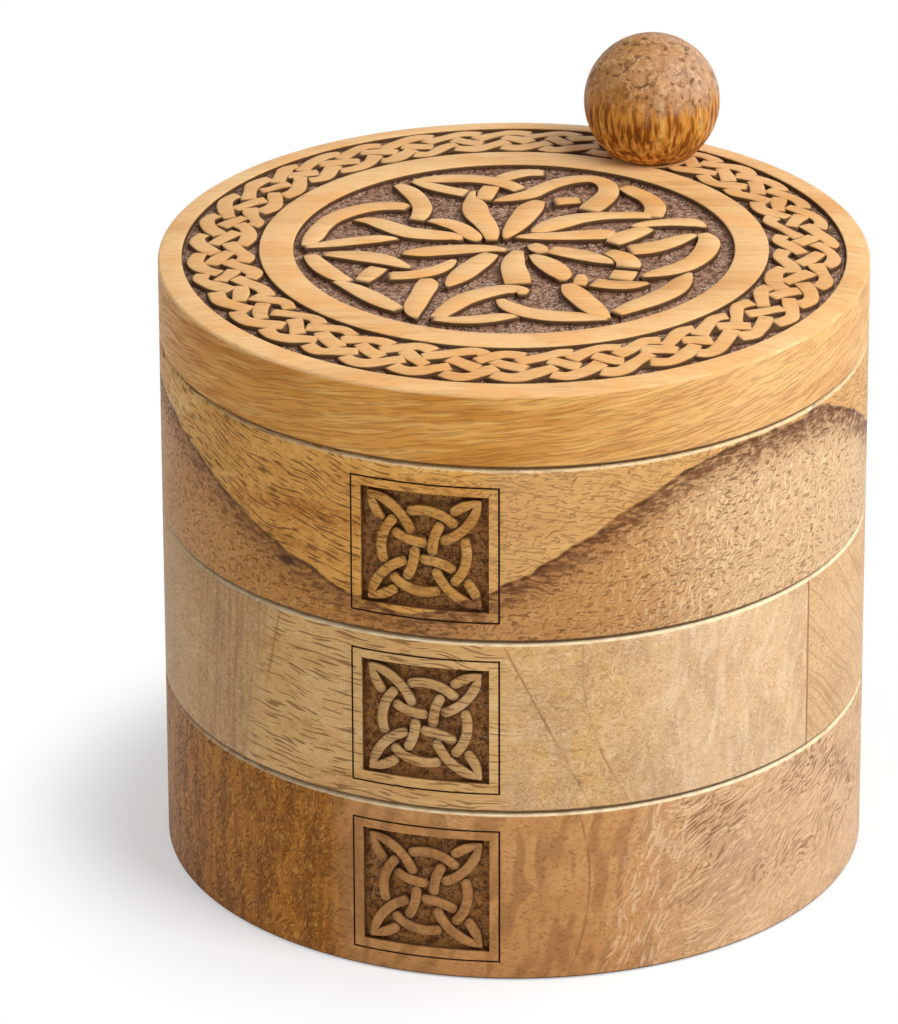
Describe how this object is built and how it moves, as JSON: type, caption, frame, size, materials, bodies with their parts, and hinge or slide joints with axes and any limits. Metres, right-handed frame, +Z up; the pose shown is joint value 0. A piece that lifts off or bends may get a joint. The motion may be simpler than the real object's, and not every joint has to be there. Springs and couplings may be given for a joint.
{
  "type": "carved wooden swivel box",
  "caption": "Round carved wooden box: turned trays with knotwork panels stacked under a carved lid, each swinging sideways about an upright rod with a ball knob.",
  "frame": {"origin": "centre of the round underside", "axes": "+Z up; the column of carved panels faces -Y; the pivot stands near the rim at +Y, a little to +X"},
  "size_m": [0.127, 0.127, 0.1365],
  "materials": {
    "lid_wood": "waxed satin",
    "upper_wood": "waxed satin",
    "middle_wood": "waxed satin",
    "lower_wood": "waxed satin",
    "floor_wood": "bare, sanded",
    "knob_wood": "waxed satin",
    "steel": "turned, dull",
    "brass": "turned",
    "fibre": "pressed fibre, matt"
  },
  "bodies": {
    "base": {"lower_tray_wall": "lower_wood", "lower_tray_floor": "floor_wood", "lower_spacer": "fibre", "pivot_rod": "steel", "base_washer": "steel", "base_nut": "steel", "knob_insert": "brass", "ball_knob": "knob_wood", "knob_spacer": "fibre"},
    "middle_tray": {"middle_tray_wall": "middle_wood", "middle_tray_floor": "floor_wood", "middle_spacer": "fibre"},
    "upper_tray": {"upper_tray_wall": "upper_wood", "upper_tray_floor": "floor_wood", "upper_spacer": "fibre"},
    "lid": {"lid": "lid_wood"}
  },
  "joints": [
    {"name": "middle_tray_swivel", "type": "hinge", "parent": "base", "child": "middle_tray", "pos_m": [0.01307, 0.05054, 0], "axis": [0, 0, 1], "continuous": true},
    {"name": "upper_tray_swivel", "type": "hinge", "parent": "base", "child": "upper_tray", "pos_m": [0.01307, 0.05054, 0], "axis": [0, 0, 1], "continuous": true},
    {"name": "lid_swivel", "type": "hinge", "parent": "base", "child": "lid", "pos_m": [0.01307, 0.05054, 0], "axis": [0, 0, 1], "continuous": true}
  ]
}
